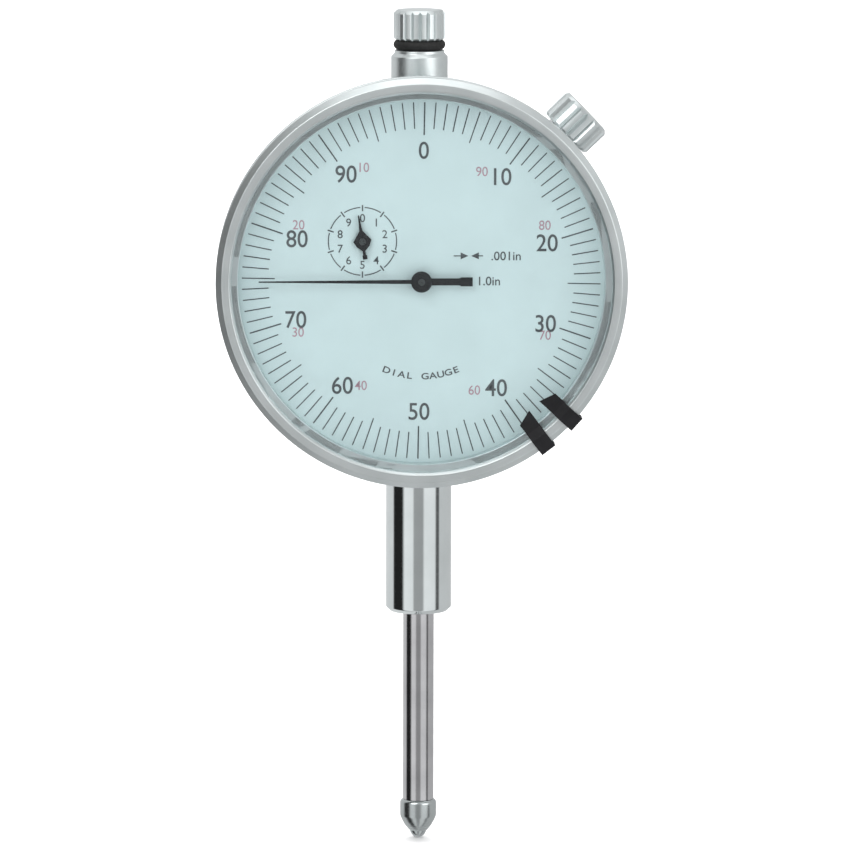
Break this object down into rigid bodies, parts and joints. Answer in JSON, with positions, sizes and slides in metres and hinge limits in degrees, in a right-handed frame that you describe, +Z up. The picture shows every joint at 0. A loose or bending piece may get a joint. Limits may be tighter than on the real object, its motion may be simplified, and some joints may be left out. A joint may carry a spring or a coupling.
{
  "type": "dial indicator",
  "caption": "Plunger dial indicator with rotating bezel, revolution counter, tolerance markers, round stem, sprung spindle, rack-and-gear movement and lug back.",
  "frame": {"origin": "on the spindle's axis, at the lower end of the stem's full diameter", "axes": "+Z up along the spindle, -Y out of the dial's face towards the reader, +X to the reader's right"},
  "size_m": [0.0586, 0.0389, 0.1212],
  "materials": {
    "case_metal": "fine satin",
    "bezel_satin": "satin turned",
    "chrome": "polished",
    "ground_steel": "ground",
    "brass": "machined",
    "plate_brass": "lapped",
    "spring_steel": "drawn",
    "screw_steel": "turned",
    "dial_enamel": "matt enamel",
    "black_enamel": "satin black",
    "crystal": "clear moulded",
    "black_rubber": "moulded",
    "gasket_fibre": "fibre sheet"
  },
  "bodies": {
    "case": {"case": "case_metal", "stem": "chrome", "lower_bush": "brass", "top_tube": "bezel_satin", "upper_bush": "brass", "mid_plate": "plate_brass", "front_plate": "plate_brass", "rear_bridge": "plate_brass", "plate_pillars": "screw_steel", "bridge_posts": "screw_steel", "dial_posts": "screw_steel", "spring_post": "screw_steel", "front_plate_screws": "screw_steel", "bridge_screws": "screw_steel", "plate_screws": "screw_steel", "cover_screws": "screw_steel", "lug_screws": "screw_steel", "arbor_bushes": "brass", "guide_rail": "screw_steel", "hairspring": "spring_steel", "hairspring_stud": "screw_steel", "return_spring": "spring_steel", "centre_dial": "dial_enamel", "bezel_wire": "spring_steel", "clamp_shoe": "screw_steel", "cover_gasket": "gasket_fibre", "back_cover": "case_metal", "mounting_lug": "case_metal"},
    "spindle": {"spindle": "ground_steel", "contact_point": "chrome", "contact_ball": "ground_steel", "lifting_cap": "bezel_satin", "buffer_ring": "black_rubber", "guide_pin": "ground_steel"},
    "rack_pinion": {"rack_pinion_arbor": "screw_steel", "drive_gear": "brass"},
    "centre_train": {"centre_pinion_arbor": "screw_steel", "hand_hub": "black_enamel", "main_hand": "black_enamel"},
    "counter": {"counter_arbor": "screw_steel", "counter_gear": "brass", "counter_hand": "black_enamel"},
    "take_up": {"take_up_arbor": "screw_steel", "take_up_gear": "brass"},
    "bezel": {"bezel": "bezel_satin", "crystal": "crystal", "dial_ring": "dial_enamel", "dial_retaining_ring": "bezel_satin"},
    "marker_a": {"tolerance_marker_a": "black_enamel"},
    "marker_b": {"tolerance_marker_b": "black_enamel"},
    "clamp_screw": {"clamp_screw": "bezel_satin"}
  },
  "joints": [
    {"name": "spindle_travel", "type": "slide", "parent": "case", "child": "spindle", "axis": [0, 0, 1], "range_m": [0, 0.026], "stiffness_N_per_m": 30, "springref_m": -0.03, "deforming": ["return_spring"]},
    {"name": "rack_pinion_turn", "type": "hinge", "parent": "case", "child": "rack_pinion", "pos_m": [-0.00322, 0, 0.05708], "axis": [0, 1, 0], "range_deg": [-922.26, 0]},
    {"name": "main_hand_turn", "type": "hinge", "parent": "case", "child": "centre_train", "pos_m": [0, 0, 0.0491], "axis": [0, 1, 0], "range_deg": [0, 3686.04]},
    {"name": "counter_hand_turn", "type": "hinge", "parent": "case", "child": "counter", "pos_m": [-0.0084, 0, 0.0548], "axis": [0, 1, 0], "range_deg": [0, 369.5]},
    {"name": "take_up_turn", "type": "hinge", "parent": "case", "child": "take_up", "pos_m": [0.00704, 0, 0.04417], "axis": [0, 1, 0], "range_deg": [-922.26, 0]},
    {"name": "bezel_turn", "type": "hinge", "parent": "case", "child": "bezel", "pos_m": [0, 0, 0.0491], "axis": [0, 1, 0], "continuous": true},
    {"name": "marker_a_slide", "type": "hinge", "parent": "bezel", "child": "marker_a", "pos_m": [0, 0, 0.0491], "axis": [0, 1, 0], "range_deg": [-130, 1.5]},
    {"name": "marker_b_slide", "type": "hinge", "parent": "bezel", "child": "marker_b", "pos_m": [0, 0, 0.0491], "axis": [0, 1, 0], "range_deg": [-1.5, 130]},
    {"name": "clamp_screw_turn", "type": "hinge", "parent": "case", "child": "clamp_screw", "pos_m": [0, -0.0015, 0.0491], "axis": [0.7193, 0, 0.6947], "range_deg": [-360, 0]}
  ],
  "couplings": [
    {"joint": "rack_pinion_turn", "follows": "spindle_travel", "rad_per_m": -618.42},
    {"joint": "main_hand_turn", "follows": "spindle_travel", "rad_per_m": 2473.7},
    {"joint": "counter_hand_turn", "follows": "spindle_travel", "rad_per_m": 247.37},
    {"joint": "take_up_turn", "follows": "spindle_travel", "rad_per_m": -618.42}
  ]
}
